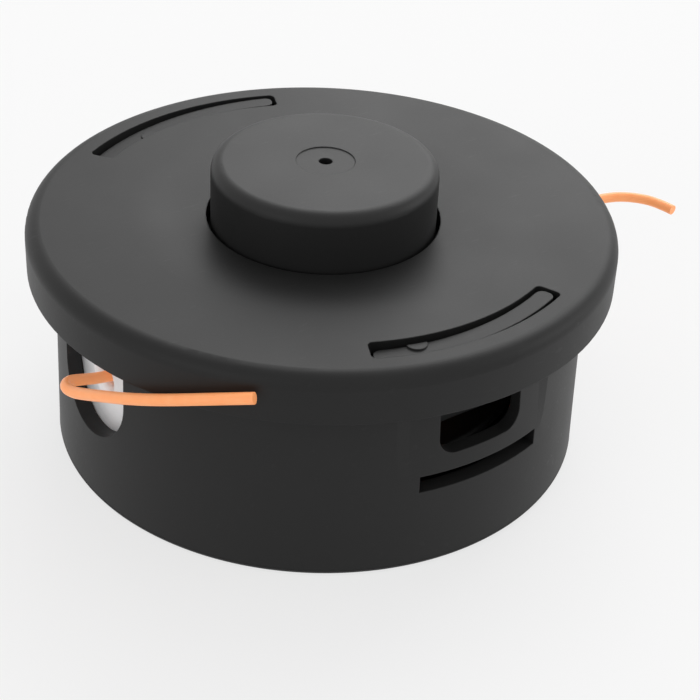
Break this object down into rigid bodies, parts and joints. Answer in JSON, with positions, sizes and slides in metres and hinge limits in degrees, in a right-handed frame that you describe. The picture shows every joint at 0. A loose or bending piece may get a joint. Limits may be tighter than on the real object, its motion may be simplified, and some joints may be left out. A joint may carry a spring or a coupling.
{
  "type": "trimmer head",
  "caption": "Round bump-feed trimmer head: wide clip-on cover over a cup-shaped housing, sprung bump knob on the line spool, and cutting line out of metal side eyelets.",
  "frame": {"origin": "centre of the machine-side face, where the axis of rotation meets the surface that the head lies on", "axes": "+Z along the axis of rotation from the machine towards the bump knob, X through the line eyelets, Y through the cover latches"},
  "size_m": [0.1607, 0.125, 0.0635],
  "materials": {
    "housing_plastic": "satin black moulding",
    "cover_plastic": "satin black moulding",
    "spool_plastic": "satin black moulding",
    "nut_steel": "bright zinc plate",
    "eyelet_metal": "satin cast metal",
    "spring_steel": "drawn wire",
    "line_nylon": "smooth extruded line"
  },
  "bodies": {
    "housing_body": {"housing": "housing_plastic", "drive_nut": "nut_steel", "eyelet_left": "eyelet_metal", "eyelet_right": "eyelet_metal", "cover": "cover_plastic", "line_end_left": "line_nylon", "line_end_right": "line_nylon"},
    "spring_body": {"spring": "spring_steel"},
    "spool_body": {"spool": "spool_plastic", "line_winding_lower": "line_nylon", "line_winding_upper": "line_nylon"}
  },
  "joints": [
    {"name": "bump_slide", "type": "slide", "parent": "housing_body", "child": "spring_body", "axis": [0, 0, -1], "range_m": [0, 0.006], "stiffness_N_per_m": 430, "springref_m": -0.025, "deforming": ["spring"]},
    {"name": "spool_turn", "type": "hinge", "parent": "spring_body", "child": "spool_body", "pos_m": [0, 0, 0.038], "axis": [0, 0, 1], "range_deg": [0, 45]}
  ],
  "couplings": [
    {"joint": "spool_turn", "follows": "bump_slide", "rad_per_m": 130.9}
  ]
}
